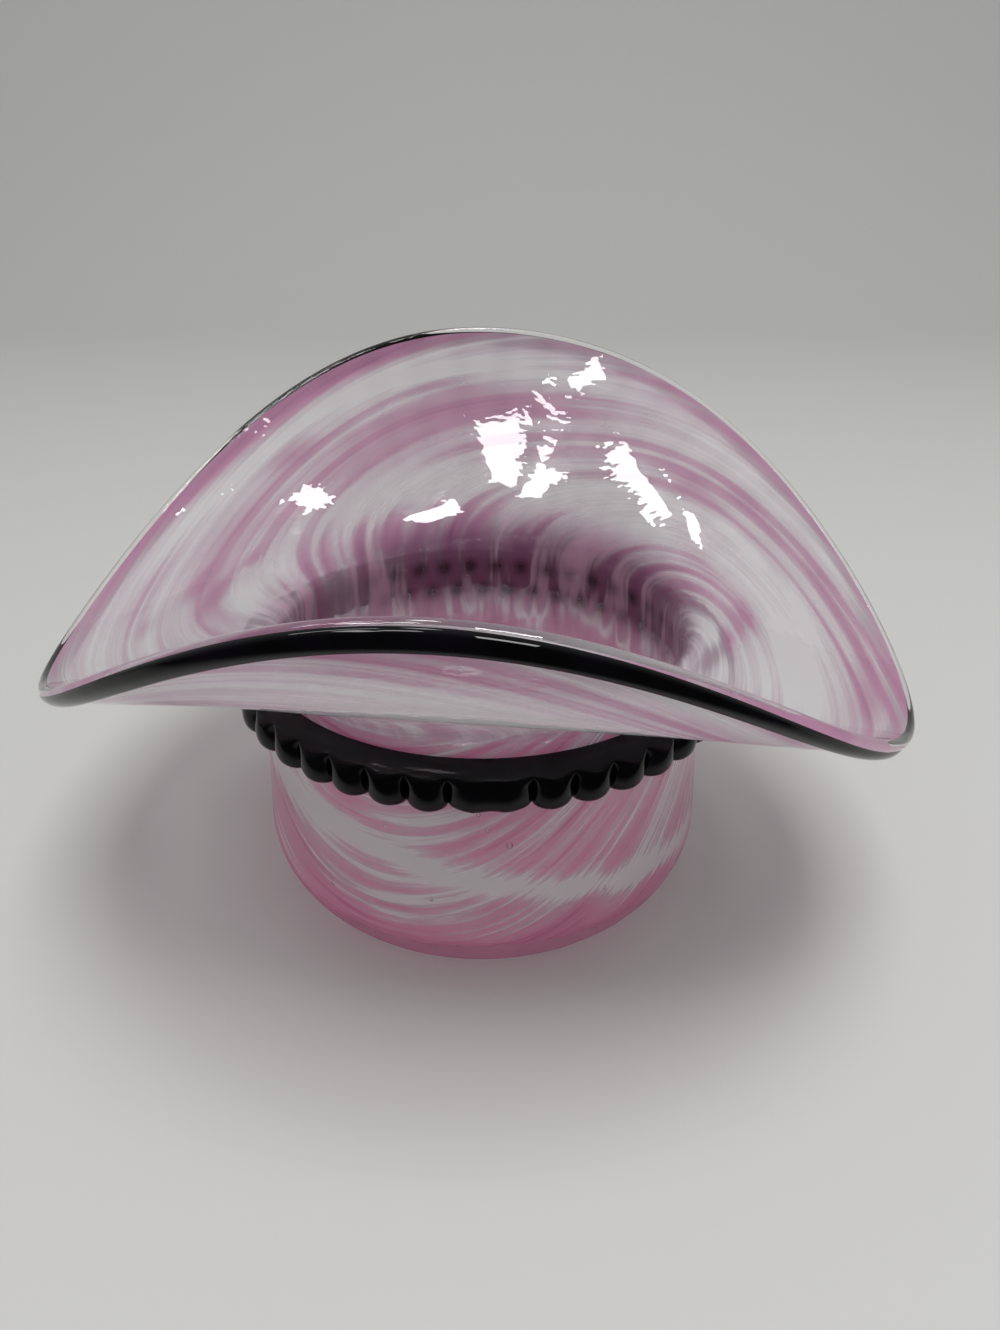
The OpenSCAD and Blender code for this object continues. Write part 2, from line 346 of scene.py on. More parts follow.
# White and pink clouds: angle, share of the way from the neck to the lip, spread of each, and strength
WHITE_CLOUDS = [
    (100, 0.885, 48, 0.030, 1.3),
    (150, 0.880, 14, 0.040, 1.1),
    (105, 0.42, 30, 0.12, 0.6),
    (60, 0.42, 24, 0.10, 0.5),
    (36, 0.52, 10, 0.04, 0.7),
    (16, 0.62, 12, 0.04, 0.9),
    (358, 0.70, 10, 0.05, 0.9),
    (35, 0.90, 14, 0.04, 0.6),
    (14, 0.95, 12, 0.035, 0.6),
    (165, 0.35, 13, 0.10, 1.0),
    (187, 0.82, 14, 0.12, 0.9),
    (343, 0.60, 12, 0.14, 1.0),
    (328, 0.62, 10, 0.14, 0.7),
    (345, 0.26, 8, 0.06, 0.5),
    (270, 0.72, 34, 0.07, 0.6),
    (226, 0.20, 20, 0.10, 0.6),
    (250, 0.05, 20, 0.04, 0.5),
    (268, 0.45, 60, 0.35, 0.7),
]
PINK_CLOUDS = [
    (88, 0.74, 40, 0.05, 0.8),
    (100, 0.60, 45, 0.12, 0.5),
    (96, 0.82, 8, 0.03, 0.6),
    (140, 0.965, 14, 0.025, 1.0),
    (115, 0.965, 12, 0.02, 0.7),
    (131, 0.80, 6, 0.05, 0.9),
    (150, 0.70, 12, 0.09, 0.5),
    (163, 0.64, 6, 0.04, 1.0),
    (167, 0.53, 8, 0.04, 0.8),
    (154, 0.52, 4, 0.03, 0.7),
    (176, 0.73, 4, 0.03, 0.8),
    (33, 0.67, 9, 0.05, 0.8),
    (24, 0.79, 9, 0.045, 0.8),
    (8, 0.86, 9, 0.04, 0.8),
    (356, 0.89, 8, 0.04, 0.7),
    (343, 0.90, 9, 0.05, 0.9),
    (22, 0.40, 10, 0.06, 0.7),
    (353, 0.44, 6, 0.05, 1.0),
    (342, 0.36, 7, 0.05, 0.9),
    (331, 0.33, 7, 0.05, 0.7),
    (300, 0.92, 14, 0.06, 0.6),
    (222, 0.80, 12, 0.06, 0.6),
    (135, 0.18, 20, 0.12, 0.6),
    (318, 0.58, 12, 0.20, 0.6),
]
# Fuller colour on the underside at the right: angle, share, spread of each, and strength
FULL_ANGLE = 318
FULL_SHARE = 0.6
FULL_SPREAD = 24
FULL_DEPTH = 0.25
FULL_COVER = 0.8


def smooth_step(low, high, value):
    share = np.clip((value - low) / (high - low), 0, 1)
    return share * share * (3 - 2 * share)


def mix(first, second, share):
    return first + (second - first) * share


def turn_between(angle, middle):
    """Angle from a middle, in degrees, between -180 and 180."""
    return (np.degrees(angle) - middle + 180) % 360 - 180


def clouds(places, angle, share):
    total = np.zeros(angle.shape)
    for middle, place, spread, depth, strength in places:
        off = (turn_between(angle, middle) / spread) ** 2 + ((share - place) / depth) ** 2
        total += strength * np.exp(-off)
    return total


def band_crimp_shade(angle, height):
    """Painted shade of the band's crimps: rows of dark marks at the crimps' pitch, each half a pitch round
    from the row below.
    """
    total = np.zeros(angle.shape)
    for row, middle in enumerate(SPOT_HEIGHTS):
        off = (np.degrees(angle) + row * CRIMP_PITCH / 2) % CRIMP_PITCH - CRIMP_PITCH / 2
        total += np.exp(-(off / SPOT_SPREAD) ** 2 - ((height - middle) / SPOT_DEPTH) ** 2)
    return total


def streak_attributes():
    """Values on the rows of one face of the coloured layer that its material draws the streaks from."""
    profile = crown_rows(CASING_WALL, CASING_BASE)[:, 0]
    steps = np.linalg.norm(np.diff(profile, axis=0, prepend=[[0, CASING_BASE]]), axis=1)
    crown_run = np.cumsum(steps)
    neck = crown_run[-1] + steps[-1]
    run = np.concatenate([crown_run, neck + BRIM_RUN * BRIM_SHARES])[:, None]
    height = np.concatenate([profile[:, 1], np.full(BRIM_ROWS + 1, NECK_HEIGHT)])[:, None]
    share = np.concatenate([np.zeros(len(profile)), BRIM_SHARES])[:, None]
    run, height, share, angle = np.broadcast_arrays(run, height, share, ANGLES[None])
    turn = angle + BRIM_TWIST * share ** (TWIST_POWER - TWIST_SOONER * np.cos(angle))
    swirl = np.stack([np.cos(turn), np.sin(turn), run], -1)
    drape = np.stack([np.cos(angle), np.sin(angle), run + DRAPE_RISE * np.cos(angle - DRAPE_LOW)], -1)
    inside = smooth_step(-INSIDE_EDGE, INSIDE_EDGE, np.sin(angle))
    climbing = inside * smooth_step(*FLARE_HEIGHTS, height)
    flare = np.maximum(climbing, smooth_step(*FLARE_SHARES, share))
    throat = inside * flare * (1 - smooth_step(*THROAT_SHARES, share))
    underside = UNDERSIDE_STRENGTH * (1 - inside) * smooth_step(*UNDERSIDE_SHARES, share)
    throat = np.maximum(throat, underside)

    ribbon_height = RIBBON_HEIGHT - RIBBON_FALL * np.cos(angle) - RIBBON_BACK_FALL * inside
    ribbon = np.exp(-((height - ribbon_height) / RIBBON_WIDTH) ** 2)
    hollow = inside * np.exp(-((height - HOLLOW_HEIGHT) / HOLLOW_SPREAD) ** 2)
    heel = (1 - smooth_step(*HEEL_HEIGHTS, height)) * smooth_step(*HEEL_RUNS, run)
    on_crown = RIBBON_WHITE * ribbon - ZONE_PINK * np.maximum(hollow, heel)
    on_crown = on_crown + mix(CROWN_LEAN, THROAT_LEAN, inside * flare)
    on_face = clouds(WHITE_CLOUDS, angle, share) - clouds(PINK_CLOUDS, angle, share)
    on_face = on_face - LIP_PINK * smooth_step(*LIP_SHARES, share)
    cloud = CLOUD_STRENGTH * mix(on_crown, on_face, smooth_step(*FACE_SHARES, share))

    behind = smooth_step(*DEEP_SHADE_EDGE, np.cos(angle - math.radians(DEEP_SHADE_ANGLE)))
    # Painted shade, partly the glass's own colour: the throat darkens from the band's height up, most at the
    # back
    deep_shade = smooth_step(*DEEP_SHADE_HEIGHTS, height) * (1 - smooth_step(*DEEP_SHADE_SHARES, share))
    deep_shade = deep_shade * mix(DEEP_SHADE_LEAST, 1, behind) * inside
    mauve = inside * (1 - smooth_step(*MAUVE_SHARES, share))
    ring = np.exp(-((share - RING_SHARE) / RING_DEPTH) ** 2) * smooth_step(*RING_EDGE, np.sin(angle))
    full = (turn_between(angle, FULL_ANGLE) / FULL_SPREAD) ** 2 + ((share - FULL_SHARE) / FULL_DEPTH) ** 2
    cover = smooth_step(*COVER_SHARES, share) - RING_CLEAR * ring + FULL_COVER * np.exp(-full)
    # Painted shade: dark marks in the throat where the band's crimps lie behind the glass
    crimp_shade = band_crimp_shade(angle, height) * behind * inside
    return {
        "swirl": swirl,
        "drape": drape,
        "cloud": cloud,
        "flare": flare,
        "throat": throat,
        "deep_shade": deep_shade,
        "cover": cover,
        "mauve": mauve,
        "crimp_shade": crimp_shade,
    }


def set_attributes(piece, values):
    """Puts values for one face's rows on both faces of a shell, and the first row's mean on its poles."""
    for name, rows in values.items():
        both = np.concatenate([rows, rows[::-1]])
        flat = both.reshape(-1, *both.shape[2:])
        pole = np.broadcast_to(rows[0].mean(0), (2, *rows.shape[2:]))
        data = np.concatenate([flat, pole]).astype(np.float32)
        vector = data.ndim == 2
        attribute = piece.data.attributes.new(name, "FLOAT_VECTOR" if vector else "FLOAT", "POINT")
        attribute.data.foreach_set("vector" if vector else "value", data.ravel())


# Material helpers

def new_material(name):
    material = bpy.data.materials.new(name)
    material.use_nodes = True
    material.node_tree.nodes.clear()
    return material, material.node_tree


def add_node(tree, kind, **values):
    """A node with some inputs set by name: a value, or the socket that feeds it."""
    node = tree.nodes.new(kind)
    for name, value in values.items():
        put(tree, node.inputs[name.replace("_", " ")], value)
    return node


def put(tree, socket, value):
    if isinstance(value, bpy.types.NodeSocket):
        tree.links.new(value, socket)
    else:
        socket.default_value = value


def maths(tree, operation, *values, clamp=False):
    node = tree.nodes.new("ShaderNodeMath")
    node.operation = operation
    node.use_clamp = clamp
    for socket, value in zip(node.inputs, values):
        put(tree, socket, value)
    return node.outputs[0]


def mix_colours(tree, share, first, second):
    node = tree.nodes.new("ShaderNodeMix")
    node.data_type = "RGBA"
    put(tree, node.inputs[0], share)
    put(tree, node.inputs[6], first)
    put(tree, node.inputs[7], second)
    return node.outputs[2]


def mix_values(tree, share, first, second):
    node = tree.nodes.new("ShaderNodeMix")
    put(tree, node.inputs[0], share)
    put(tree, node.inputs[2], first)
    put(tree, node.inputs[3], second)
    return node.outputs[0]


def spread(tree, value, low, high):
    """A smooth step from 0 at low to 1 at high."""
    node = tree.nodes.new("ShaderNodeMapRange")
    node.interpolation_type = "SMOOTHSTEP"
    put(tree, node.inputs["Value"], value)
    node.inputs["From Min"].default_value = low
    node.inputs["From Max"].default_value = high
    return node.outputs["Result"]


def attribute(tree, name):
    node = tree.nodes.new("ShaderNodeAttribute")
    node.attribute_name = name
    return node


def noise(tree, vector, scale, offset=(0, 0, 0), detail=3.0, roughness=0.55, distortion=0.0):
    """Noise on a vector that is stretched by a scale along each axis."""
    mapping = tree.nodes.new("ShaderNodeMapping")
    tree.links.new(vector, mapping.inputs["Vector"])
    mapping.inputs["Scale"].default_value = scale
    mapping.inputs["Location"].default_value = offset
    node = add_node(tree, "ShaderNodeTexNoise", Vector=mapping.outputs[0], Scale=1.0, Detail=detail,
                    Roughness=roughness, Distortion=distortion)
    return node.outputs["Fac"]


def finish_material(tree, shader):
    output = tree.nodes.new("ShaderNodeOutputMaterial")
    tree.links.new(shader, output.inputs["Surface"])


def let_lamps_through(tree, shader, colour):
    """Light from a lamp or a dull surface passes the glass without bending, as through a clear film."""
    path = tree.nodes.new("ShaderNodeLightPath")
    passes = maths(tree, "MAXIMUM", path.outputs["Is Shadow Ray"], path.outputs["Is Diffuse Ray"])
    clear = add_node(tree, "ShaderNodeBsdfTransparent", Color=colour)
    mixed = add_node(tree, "ShaderNodeMixShader", Fac=passes)
    tree.links.new(shader, mixed.inputs[1])
    tree.links.new(clear.outputs[0], mixed.inputs[2])
    return mixed.outputs[0]


# Materials of the hat

GLASS_IOR = 1.5
# Part of the noise over which polished glass gets a trace of wear
WEAR_LEVELS = (0.3, 0.9)
CLEAR_TINT = (0.985, 0.976, 0.981, 1)
# Painted reflection: below this height in metres the thick glass of the heel is tinted pink, standing in for
# the pink layer above it seen reflected inside the glass
HEEL_REFLECTION_TINT = (0.93, 0.76, 0.83, 1)
HEEL_TOP = 0.014
# Scale of the wall's slow waves, of the fine cords and of the wear, and the cords' weight beside the waves
WAVE_SCALE = (45, 45, 45)
CORD_SCALE = (150, 150, 260)
CORD_WEIGHT = 0.36
CLEAR_WEAR_SCALE = (300, 300, 300)
WAVE_STRENGTH = 0.25
WAVE_DEPTH = 0.0012
CLEAR_ROUGHNESS = (0.0, 0.02)


def clear_glass():
    """Fire-polished clear glass: slow waves of the hand-blown wall and fine cords along its turn."""
    material, tree = new_material("clear_glass")
    place = tree.nodes.new("ShaderNodeTexCoord").outputs["Object"]
    waves = noise(tree, place, WAVE_SCALE, detail=1.0)
    cords = noise(tree, place, CORD_SCALE, detail=2.0)
    height = maths(tree, "MULTIPLY_ADD", cords, CORD_WEIGHT, waves)
    bump = add_node(tree, "ShaderNodeBump", Strength=WAVE_STRENGTH, Distance=WAVE_DEPTH, Height=height)
    wear = spread(tree, noise(tree, place, CLEAR_WEAR_SCALE), *WEAR_LEVELS)
    level = add_node(tree, "ShaderNodeSeparateXYZ", Vector=place).outputs["Z"]
    # Painted reflection: pink tint on the heel's clear glass, for the coloured layer seen reflected in it
    tint = mix_colours(tree, spread(tree, level, 0.0, HEEL_TOP), HEEL_REFLECTION_TINT, CLEAR_TINT)
    glass = add_node(
        tree,
        "ShaderNodeBsdfPrincipled",
        Base_Color=tint,
        IOR=GLASS_IOR,
        Transmission_Weight=1.0,
        Roughness=mix_values(tree, wear, *CLEAR_ROUGHNESS),
        Normal=bump.outputs[0],
    )
    finish_material(tree, let_lamps_through(tree, glass.outputs[0], CLEAR_TINT))
    return material


def joined_face():
    """Where two layers of glass are fused, nothing shows."""
    material, tree = new_material("joined_face")
    clear = add_node(tree, "ShaderNodeBsdfTransparent", Color=(1, 1, 1, 1))
    finish_material(tree, clear.outputs[0])
    return material


WHITE_GLASS = (0.76, 0.755, 0.76, 1)
PALE_GLASS = (0.72, 0.64, 0.69, 1)
MAUVE_GLASS = (0.66, 0.45, 0.575, 1)
ROSE_GLASS = (0.88, 0.49, 0.63, 1)
PINK_GLASS = (0.70, 0.40, 0.57, 1)
ROSE_THREAD = (0.72, 0.29, 0.46, 1)
PINK_THREAD = (0.56, 0.25, 0.43, 1)
# Painted shade: the throat's darkest colour, partly its own and partly standing in for the shade of the black
# band behind it
DEEP_COLOUR_AND_SHADE = (0.26, 0.09, 0.20, 1)
# Painted shade of the band's crimps behind the throat
SPOT_SHADE = (0.02, 0.01, 0.02, 1)
PALE_FILM = (0.92, 0.90, 0.915, 1)
PINK_FILM = (0.76, 0.64, 0.71, 1)
# Broad, fine and hair-fine streaks: strength on the crown, on the brim and in the throat, scale on the crown
# and on the brim, offset, detail and distortion
STREAKS = [
    (0.8, 0.7, 0.4, (0.9, 0.9, 0.07), (1.5, 1.5, 0.02), (3, 1, 0), 2.0, 0.5),
    (1.2, 0.7, 2.7, (1.2, 1.2, 0.24), (6.5, 6.5, 0.02), (0, 5, 2), 2.0, 0.4),
    (2.1, 0.3, 0.9, (1.6, 1.6, 0.7), (16, 16, 0.04), (7, 2, 9), 3.0, 0.2),
]
# Levels of the streaks over which the glass turns white, stops being pink, and thins out from a dark thread
WHITE_LEVELS = (-0.06, 0.32)
PINK_LEVELS = (-0.32, 0.06)
THREAD_LEVELS = (-0.75, -0.25)
# Strength of the throat's painted shade and of the band's painted crimp shade, and how white streaks change
# each
DEEP_SHADE_STRENGTH = 0.9
DEEP_SHADE_CHANGE = -0.75
SPOT_STRENGTH = 1.0
SPOT_CHANGE = -0.45
# Share of the light that the glass scatters: the least, and what each kind of glass adds
BODY_LEAST = 0.30
BODY_WHITE = 0.45
BODY_PINK = 0.10
BODY_CROWN = 0.14
BODY_DEEP_SHADE = 0.40
BODY_COVER = 0.35
STREAK_ROUGHNESS = 0.6
# Half of the scattered light goes on through the glass
THROUGH_SHARE = 0.5


def streaked_glass():
    """Coloured glass: white streaks that scatter light, drawn out in pink glass that lets more of it pass."""
    material, tree = new_material("streaked_glass")
    swirl, drape = (attribute(tree, name).outputs["Vector"] for name in ("swirl", "drape"))
    names = ("cloud", "flare", "throat", "deep_shade", "cover", "mauve", "crimp_shade")
    cloud, flare, throat, deep_shade, cover, mauve, crimp_shade = (attribute(tree, name).outputs["Fac"] for name in names)

    def streaks(on_crown, on_brim, in_throat, crown_scale, brim_scale, offset, detail, distortion):
        """Noise round 0 that hangs on the crown, and runs up the throat and over the brim."""
        hanging = noise(tree, drape, crown_scale, offset, detail=detail, distortion=distortion)
        swirling = noise(tree, swirl, brim_scale, offset, detail=detail, distortion=distortion)
        both = mix_values(tree, flare, hanging, swirling)
        strength = mix_values(tree, throat, mix_values(tree, flare, on_crown, on_brim), in_throat)
        return maths(tree, "MULTIPLY", maths(tree, "SUBTRACT", both, 0.5), strength)

    level = cloud
    for settings in STREAKS:
        level = maths(tree, "ADD", level, streaks(*settings))
    white = spread(tree, level, *WHITE_LEVELS)
    pink = maths(tree, "SUBTRACT", 1.0, spread(tree, level, *PINK_LEVELS))
    thread = maths(tree, "SUBTRACT", 1.0, spread(tree, level, *THREAD_LEVELS))

    rose = mix_colours(tree, thread, ROSE_GLASS, ROSE_THREAD)
    violet = mix_colours(tree, thread, PINK_GLASS, PINK_THREAD)
    colour = mix_colours(tree, pink, PALE_GLASS, mix_colours(tree, flare, rose, violet))
    colour = mix_colours(tree, white, colour, mix_colours(tree, mauve, WHITE_GLASS, MAUVE_GLASS))
    # Painted shade: the throat turns towards its darkest colour where the band behind it blocks the light,
    # less so in white streaks
    deep_shading = maths(tree, "MULTIPLY_ADD", white, DEEP_SHADE_CHANGE, DEEP_SHADE_STRENGTH)
    colour = mix_colours(tree, maths(tree, "MULTIPLY", deep_shade, deep_shading), colour, DEEP_COLOUR_AND_SHADE)
    # Painted shade: dark marks in the throat for the band's crimps behind it, weaker in white streaks
    spotting = maths(tree, "MULTIPLY_ADD", white, SPOT_CHANGE, SPOT_STRENGTH)
    colour = mix_colours(tree, maths(tree, "MULTIPLY", crimp_shade, spotting), colour, SPOT_SHADE)
    film_colour = mix_colours(tree, pink, PALE_FILM, PINK_FILM)

    body = maths(tree, "MULTIPLY_ADD", pink, BODY_PINK, BODY_LEAST)
    body = maths(tree, "MULTIPLY_ADD", white, BODY_WHITE, body)
    body = maths(tree, "ADD", body, mix_values(tree, flare, BODY_CROWN, 0.0))
    body = maths(tree, "MULTIPLY_ADD", deep_shade, BODY_DEEP_SHADE, body)
    body = maths(tree, "MULTIPLY_ADD", cover, BODY_COVER, body, clamp=True)

    front = add_node(tree, "ShaderNodeBsdfPrincipled", Base_Color=colour, Roughness=STREAK_ROUGHNESS)
    front.inputs["Specular IOR Level"].default_value = 0.0
    through = add_node(tree, "ShaderNodeBsdfTranslucent", Color=colour)
    scatter = add_node(tree, "ShaderNodeMixShader", Fac=THROUGH_SHARE)
    tree.links.new(front.outputs[0], scatter.inputs[1])
    tree.links.new(through.outputs[0], scatter.inputs[2])
    film = add_node(tree, "ShaderNodeBsdfTransparent", Color=film_colour)
    mixed = add_node(tree, "ShaderNodeMixShader", Fac=body)
    tree.links.new(film.outputs[0], mixed.inputs[1])
    tree.links.new(scatter.outputs[0], mixed.inputs[2])
    finish_material(tree, mixed.outputs[0])
    return material


BLACK = (0.0008, 0.0008, 0.001, 1)
BLACK_VIOLET = (0.003, 0.002, 0.004, 1)
VIOLET_SCALE = (90, 90, 90)
VIOLET_LEVELS = (0.35, 0.75)
RIPPLE_SCALE = (160, 160, 160)
RIPPLE_STRENGTH = 0.2
RIPPLE_DEPTH = 0.0003
BLACK_WEAR_SCALE = (420, 420, 420)
BLACK_ROUGHNESS = (0.01, 0.04)
BLACK_SPECULAR = 0.2


def black_glass():
    """Opaque black glass with a polished skin that ripples a little, and a trace of violet in its depth."""
    material, tree = new_material("black_glass")
    place = tree.nodes.new("ShaderNodeTexCoord").outputs["Object"]
    depth = spread(tree, noise(tree, place, VIOLET_SCALE), *VIOLET_LEVELS)
    colour = mix_colours(tree, depth, BLACK, BLACK_VIOLET)
    ripple = noise(tree, place, RIPPLE_SCALE, detail=1.0)
    bump = add_node(tree, "ShaderNodeBump", Strength=RIPPLE_STRENGTH, Distance=RIPPLE_DEPTH, Height=ripple)
    wear = spread(tree, noise(tree, place, BLACK_WEAR_SCALE), *WEAR_LEVELS)
    glass = add_node(
        tree,
        "ShaderNodeBsdfPrincipled",
        Base_Color=colour,
        IOR=GLASS_IOR,
        Roughness=mix_values(tree, wear, *BLACK_ROUGHNESS),
        Normal=bump.outputs[0],
    )
    glass.inputs["Specular IOR Level"].default_value = BLACK_SPECULAR
    finish_material(tree, glass.outputs[0])
    return material


# Pieces of the hat

def settle(piece, node):
    """The piece stands in for a solid, whose own mesh it hides, and moves with the hat's body."""
    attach(piece, "root")
    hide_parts(node)


# Seeds, which are small bubbles in the outer glass of the crown: angle, height and radius
SEEDS = [
    (276, 37, 0.7),
    (271, 40.5, 0.45),
    (269, 44, 0.4),
    (284, 31, 0.35),
    (258, 24, 0.4),
    (247, 39, 0.35),
    (300, 22, 0.45),
    (318, 40, 0.4),
    (231, 20, 0.35),
    (120, 33, 0.5),
    (64, 26, 0.4),
    (185, 37, 0.45),
]
SEED_ROWS = 7
SEED_SIDES = 12
SEED_STRETCH = 1.3
# The first and last row of a seed lie this many degrees from its middle
SEED_TILT = 85


def seed_bubbles(first):
    """Points and faces of the hollow seeds, whose faces look inwards. Point numbers start at first."""
    tilt = np.radians(np.linspace(SEED_TILT, -SEED_TILT, SEED_ROWS))[:, None]
    turn = 2 * math.pi * np.arange(SEED_SIDES) / SEED_SIDES
    ring = np.cos(tilt)
    axes = np.broadcast_arrays(ring * np.cos(turn), ring * np.sin(turn), np.sin(tilt))
    ball = np.stack(axes, -1)
    points = []
    faces = []
    for angle, height, radius in SEEDS:
        angle = math.radians(angle)
        middle = wall_radius(CASING_WALL / 2, height)
        place = np.array([middle * math.cos(angle), middle * math.sin(angle), height])
        start = first + len(points) * SEED_ROWS * SEED_SIDES
        points.append((place + radius * ball * (1, 1, SEED_STRETCH)).reshape(-1, 3) * MM)
        faces += (start + strip_faces(SEED_ROWS, SEED_SIDES, False)).tolist()
        last = start + (SEED_ROWS - 1) * SEED_SIDES
        faces.append([start + i for i in reversed(range(SEED_SIDES))])
        faces.append([last + i for i in range(SEED_SIDES)])
    return np.concatenate(points), faces


def make_casing(glass, joined):
    """The clear outer glass, from the base up to the lip, which it closes with a round edge."""
    outer = face_rows(0, 0)
    lip = lip_rows(np.arange(LIP_ROWS + 1)[:, None] * 180 / LIP_ROWS)
    end = brim_rows([1], WALL)
    inner = face_rows(CASING_WALL, CASING_BASE)[::-1]
    rows = np.concatenate([outer, lip, end, inner])
    points, faces = shell_points_and_faces(rows, 0, CASING_BASE)
    skin_rows = len(outer) + len(lip)
    index = np.zeros(len(faces), int)
    index[skin_rows * ANGLE_STEPS:(len(rows) - 1) * ANGLE_STEPS] = 1
    index[-ANGLE_STEPS:] = 1
    seed_points, seed_faces = seed_bubbles(len(points))
    points = np.concatenate([points, seed_points])
    index = np.concatenate([index, np.zeros(len(seed_faces), int)])
    piece = make_piece("clear_casing", points, faces + seed_faces, [glass, joined], index)
    settle(piece, "outer_casing")


def make_colour(material):
    """The thin coloured glass inside the wall, with a face on each side."""
    outer = face_rows(CASING_WALL + LAYER_GAP, CASING_BASE + LAYER_GAP)
    inner_depth = CASING_WALL + COLOUR_WALL - LAYER_GAP
    inner = face_rows(inner_depth, CASING_BASE + COLOUR_WALL - LAYER_GAP)[::-1]
    points, faces = shell_points_and_faces(np.concatenate([outer, inner]),
                                           CASING_BASE + LAYER_GAP, CASING_BASE + COLOUR_WALL - LAYER_GAP)
    piece = make_piece("streaked_colour", points, faces, [material])
    set_attributes(piece, streak_attributes())
    settle(piece, "colour_layer")


def make_bubble(glass, joined):
    """The clear inner glass, whose inside face is the bowl."""
    outer = face_rows(CASING_WALL + COLOUR_WALL, CASING_BASE + COLOUR_WALL)
    inner = face_rows(WALL, FLOOR)[::-1]
    points, faces = shell_points_and_faces(np.concatenate([outer, inner]), CASING_BASE + COLOUR_WALL, FLOOR)
    index = np.zeros(len(faces), int)
    index[:len(outer) * ANGLE_STEPS] = 1
    index[-2 * ANGLE_STEPS:-ANGLE_STEPS] = 1
    piece = make_piece("clear_bubble", points, faces, [glass, joined], index)
    settle(piece, "inner_bubble")


def make_lip_trail(material):
    """The black trail, which bulges from the glass below the lip and is seated a little way into it."""
    foot = brim_rows([1], 0, TRAIL_FOOT)[0]
    start, half, top = lip_rows(np.array([[0], [0.5], [1]]) * CLIMB)
    side = curve_side(np.ones(ANGLE_STEPS))
    turns = np.radians(np.arange(BULGE_ROWS + 1) * 180 / BULGE_ROWS)[:, None, None]
    bulge = (foot + top) / 2 - (top - foot) / 2 * np.cos(turns) + BULGE[:, None] * side * np.sin(turns)
    seat = np.stack([half, start, (foot + start) / 2]) - TRAIL_SEAT * side
    rows = np.concatenate([bulge, seat])
    points = around(rows, ANGLES)
    faces = strip_faces(len(rows), ANGLE_STEPS, True).tolist()
    piece = make_piece("black_lip_trail", points, faces, [material])
    settle(piece, "lip_trail")


def band_angles():
    """Angles round the band from the right end of its front pad, and how full the crimps are there."""
    turns = np.arange(CRIMP_COUNT * CRIMP_STEPS) / CRIMP_STEPS
    pad_turns = np.arange(PAD_STEPS) / PAD_STEPS
    angles = np.concatenate([PAD_ANGLE / 2 + CRIMP_PITCH * turns, PAD_ANGLE * (pad_turns - 0.5)])
    full = np.abs(np.sin(math.pi * np.concatenate([turns, pad_turns])))
    hollow = np.concatenate([np.zeros(len(turns)), np.full(PAD_STEPS, PAD_HOLLOW)])
    share = full ** CRIMP_FULLNESS * (1 - hollow * full ** PAD_STEEPNESS)
    return np.radians(FRONT_ANGLE + PAD_TURN + angles), share


def make_neck_band(material):
    """The black trail round the neck: a smooth collar whose lower part is crimped."""
    angles, share = band_angles()
    turns = (180 * np.arange(BAND_ROWS + 1) / BAND_ROWS - 90)[:, None]
    fade = smooth_step(0, DENT_FADE, DENT_END - turns) * (1 - DENT_FILL * np.maximum(0, -turns / 90))
    fullness = np.where(turns < 0, FOOT_FULLNESS, TOP_FULLNESS)
    cosine = np.clip(np.cos(np.radians(turns)), 0, 1)
    sine = np.sin(np.radians(turns))
    depth = (BAND_DEPTH - CRIMP_DEPTH * (1 - share) * fade) * cosine ** fullness
    middle = NECK_HEIGHT - BAND_DROP - BAND_HEIGHT / 2
    height = middle + BAND_HEIGHT / 2 * sine - CRIMP_DROP * share * (1 - sine) / 2
    front = np.stack([wall_radius(-depth, height), height], -1)
    seat_height = np.stack([mix(height[-1], height[0], place) for place in SEAT_SHARES])
    seat = np.stack([wall_radius(TRAIL_SEAT, seat_height), seat_height], -1)
    rows = np.concatenate([front, seat])
    faces = strip_faces(len(rows), len(angles), True).tolist()
    piece = make_piece("black_neck_band", around(rows, angles), faces, [material])
    settle(piece, "neck_band")


# Floor, light and camera

FLOOR_COLOUR = (0.52, 0.52, 0.507, 1)
FLOOR_SIDE = 1.6
FLOOR_FRONT = -1.2
SWEEP_START = 0.62
SWEEP_RADIUS = 0.5
SWEEP_TOP = 1.1
SWEEP_STEPS = 24
# The mirror image of the floor gets dim over these distances in front of the hat, where the room is dark
DIM_DISTANCES = (0.07, 0.14)
DIM_COLOUR = (0.05, 0.05, 0.05, 1)
# Near the base the mirrored floor is pink from light that comes through the glass, fading over these radii
NEAR_RADII = (0.045, 0.085)
NEAR_COLOUR = (0.44, 0.24, 0.31, 1)


